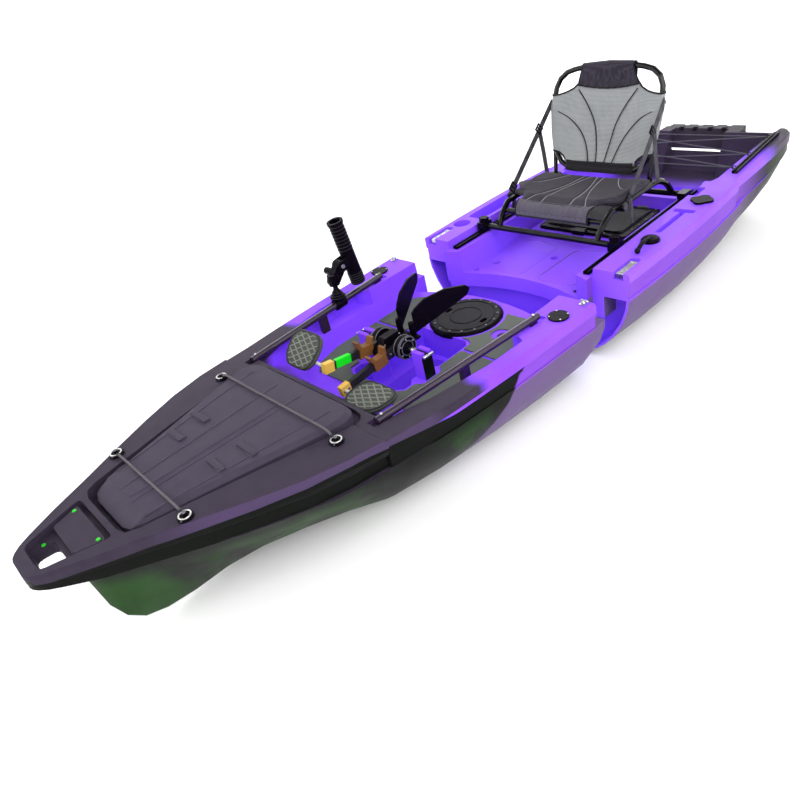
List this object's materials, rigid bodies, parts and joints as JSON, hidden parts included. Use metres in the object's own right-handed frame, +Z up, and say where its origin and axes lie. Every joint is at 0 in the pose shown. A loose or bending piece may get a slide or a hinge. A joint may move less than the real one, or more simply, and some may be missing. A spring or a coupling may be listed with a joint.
{
  "type": "two-piece pedal kayak",
  "caption": "Sit-on-top kayak in two joining hull sections, with a fin pedal drive, framed seat, side rails, hatches, rod holder and laced tank well.",
  "frame": {"origin": "centre of the bounding box's base, on the ground under the keels", "axes": "+X to the bow, +Y to port, +Z up"},
  "size_m": [3.105, 0.864, 0.7918],
  "materials": {
    "hull_purple": "satin moulded",
    "hull_violet": "satin moulded",
    "bow_charcoal": "fine grain",
    "black_plastic": "satin",
    "foam": "matte foam",
    "rail": "gloss",
    "steel": "brushed",
    "clip": "satin",
    "cord": "woven",
    "pad": "matte ribbed",
    "mesh": "woven mesh",
    "fabric": "woven",
    "frame": "satin black"
  },
  "bodies": {
    "rear_section": {"rear_hull": "hull_violet", "tank_lacing": "cord", "seat_track_port": "black_plastic", "seat_track_starboard": "black_plastic", "aft_track_port": "black_plastic", "aft_track_starboard": "black_plastic", "rear_insert_port": "black_plastic", "rear_insert_starboard": "black_plastic", "stern_handle_port": "black_plastic", "stern_handle_starboard": "black_plastic"},
    "front_section": {"front_hull": "hull_purple", "front_rail_port": "rail", "front_rail_starboard": "rail", "bow_cleat_front_port": "black_plastic", "bow_cleat_front_starboard": "black_plastic", "bow_cleat_rear_port": "black_plastic", "bow_cleat_rear_starboard": "black_plastic", "mat_aft_port": "foam", "mat_aft_starboard": "foam", "mat_front_port": "foam", "mat_front_starboard": "foam", "front_insert_port": "black_plastic", "front_insert_starboard": "black_plastic", "latch_strike_port": "steel", "latch_strike_starboard": "steel"},
    "bow_lid": {"bow_hatch_lid": "bow_charcoal", "bow_cord_front": "cord", "bow_cord_rear": "cord"},
    "front_hatch": {"front_hatch_lid": "black_plastic"},
    "holder_clamp": {"holder_base": "black_plastic"},
    "holder_link": {"holder_arm": "black_plastic"},
    "holder_screw": {"holder_knob": "black_plastic"},
    "holder_cup": {"holder_tube": "black_plastic"},
    "drive": {"drive_spine": "black_plastic"},
    "rect_hatch": {"rect_hatch_lid": "black_plastic"},
    "rect_hatch_catch": {"rect_hatch_latch": "black_plastic"},
    "rear_hatch": {"rear_hatch_lid": "bow_charcoal"},
    "steering_lever": {"rudder_lever": "black_plastic"},
    "rudder": {"rudder_blade": "black_plastic"},
    "seat": {"seat_base_frame": "frame", "seat_pad": "fabric"},
    "backrest": {"seat_back_frame": "frame", "seat_back_mesh": "mesh", "seat_strap_port": "fabric", "seat_strap_starboard": "fabric"},
    "crank_port": {"crank_arm_port": "black_plastic"},
    "clip_port": {"pedal_clip_port": "clip"},
    "pedal_port": {"pedal_port": "pad"},
    "fin_port": {"fin_port": "black_plastic"},
    "latch_port": {"section_latch_port": "steel"},
    "clamp_knob_port": {"seat_knob_port": "black_plastic"},
    "crank_starboard": {"crank_arm_starboard": "black_plastic"},
    "clip_starboard": {"pedal_clip_starboard": "clip"},
    "pedal_starboard": {"pedal_starboard": "pad"},
    "fin_starboard": {"fin_starboard": "black_plastic"},
    "latch_starboard": {"section_latch_starboard": "steel"},
    "clamp_knob_starboard": {"seat_knob_starboard": "black_plastic"}
  },
  "joints": [
    {"name": "section_slide", "type": "slide", "parent": "rear_section", "child": "front_section", "axis": [1, 0, 0], "range_m": [-0.178, 0.4]},
    {"name": "bow_lid_lift", "type": "slide", "parent": "front_section", "child": "bow_lid", "axis": [0, 0, 1], "range_m": [0, 0.2]},
    {"name": "front_hatch_twist", "type": "hinge", "parent": "front_section", "child": "front_hatch", "pos_m": [0.1695, 0, 0.22], "axis": [0, 0, 1], "range_deg": [0, 60]},
    {"name": "holder_slide", "type": "slide", "parent": "front_section", "child": "holder_clamp", "axis": [0.9961, 0.0882, 0], "range_m": [-0.06, 0.02]},
    {"name": "holder_tilt", "type": "hinge", "parent": "holder_clamp", "child": "holder_link", "pos_m": [0.4224, -0.31195, 0.414], "axis": [0, 1, 0], "range_deg": [0, 12]},
    {"name": "holder_screw_turn", "type": "hinge", "parent": "holder_link", "child": "holder_screw", "pos_m": [0.4034, -0.31195, 0.4325], "axis": [0, 1, 0], "range_deg": [0, 180]},
    {"name": "holder_cup_tilt", "type": "hinge", "parent": "holder_link", "child": "holder_cup", "pos_m": [0.3844, -0.31195, 0.451], "axis": [0, 1, 0], "range_deg": [-3, 30]},
    {"name": "drive_lift", "type": "slide", "parent": "front_section", "child": "drive", "axis": [0, 0, 1], "range_m": [0, 0.2]},
    {"name": "crank_turn_starboard", "type": "hinge", "parent": "drive", "child": "crank_starboard", "pos_m": [0.4825, 0, 0.3], "axis": [0, 1, 0], "range_deg": [-1, 8]},
    {"name": "crank_turn_port", "type": "hinge", "parent": "drive", "child": "crank_port", "pos_m": [0.4825, 0, 0.3], "axis": [0, 1, 0], "range_deg": [-8, 1]},
    {"name": "pedal_turn_port", "type": "hinge", "parent": "crank_port", "child": "pedal_port", "pos_m": [0.70565, 0, 0.28048], "axis": [0, 1, 0], "range_deg": [-8, 4]},
    {"name": "clip_slide_port", "type": "slide", "parent": "crank_port", "child": "clip_port", "axis": [0.9962, 0, -0.0872], "range_m": [-0.012, 0.06]},
    {"name": "pedal_turn_starboard", "type": "hinge", "parent": "crank_starboard", "child": "pedal_starboard", "pos_m": [0.70374, 0, 0.33504], "axis": [0, 1, 0], "range_deg": [-8, 2]},
    {"name": "clip_slide_starboard", "type": "slide", "parent": "crank_starboard", "child": "clip_starboard", "axis": [0.9877, 0, 0.1564], "range_m": [-0.012, 0.06]},
    {"name": "fin_sweep_port", "type": "hinge", "parent": "drive", "child": "fin_port", "pos_m": [0.4225, 0.028, 0.32], "axis": [0, 0, 1], "range_deg": [-2, 10]},
    {"name": "fin_sweep_starboard", "type": "hinge", "parent": "drive", "child": "fin_starboard", "pos_m": [0.4225, -0.028, 0.32], "axis": [0, 0, 1], "range_deg": [-10, 2]},
    {"name": "rect_hatch_open", "type": "hinge", "parent": "rear_section", "child": "rect_hatch", "pos_m": [-0.7665, 0, 0.244], "axis": [0, 1, 0], "range_deg": [-24, 0]},
    {"name": "rect_hatch_catch_lift", "type": "hinge", "parent": "rect_hatch", "child": "rect_hatch_catch", "pos_m": [-0.5065, 0, 0.254], "axis": [0, 1, 0], "range_deg": [-70, 0]},
    {"name": "rear_hatch_twist", "type": "hinge", "parent": "rear_section", "child": "rear_hatch", "pos_m": [-1.1275, 0, 0.166], "axis": [0, 0, 1], "range_deg": [0, 60]},
    {"name": "steering_turn", "type": "hinge", "parent": "rear_section", "child": "steering_lever", "pos_m": [-0.3385, 0.367, 0.34], "axis": [0, 0, 1], "range_deg": [-20, 20]},
    {"name": "rudder_turn", "type": "hinge", "parent": "rear_section", "child": "rudder", "pos_m": [-1.3985, 0, 0.09], "axis": [0, 0, 1], "range_deg": [-30, 30]},
    {"name": "seat_slide", "type": "slide", "parent": "rear_section", "child": "seat", "axis": [1, 0, 0], "range_m": [-0.05, 0.12]},
    {"name": "backrest_recline", "type": "hinge", "parent": "seat", "child": "backrest", "pos_m": [-0.6475, 0, 0.398], "axis": [0, 1, 0], "range_deg": [-25, 8], "deforming": ["seat_strap_port", "seat_strap_starboard"]},
    {"name": "section_latch_lift_port", "type": "hinge", "parent": "rear_section", "child": "latch_port", "pos_m": [-0.1965, 0.389, 0.318], "axis": [0, 1, 0], "range_deg": [-75, 0]},
    {"name": "clamp_knob_turn_port", "type": "hinge", "parent": "seat", "child": "clamp_knob_port", "pos_m": [-0.2825, 0.276, 0.35], "axis": [0, 0, 1], "range_deg": [-90, 90]},
    {"name": "section_latch_lift_starboard", "type": "hinge", "parent": "rear_section", "child": "latch_starboard", "pos_m": [-0.1965, -0.389, 0.318], "axis": [0, 1, 0], "range_deg": [-75, 0]},
    {"name": "clamp_knob_turn_starboard", "type": "hinge", "parent": "seat", "child": "clamp_knob_starboard", "pos_m": [-0.2825, -0.276, 0.35], "axis": [0, 0, 1], "range_deg": [-90, 90]}
  ],
  "couplings": [
    {"joint": "crank_turn_port", "follows": "crank_turn_starboard", "ratio": -1},
    {"joint": "fin_sweep_port", "follows": "crank_turn_starboard", "ratio": 1},
    {"joint": "fin_sweep_starboard", "follows": "crank_turn_starboard", "ratio": -1},
    {"joint": "rudder_turn", "follows": "steering_turn", "ratio": 1.5}
  ]
}
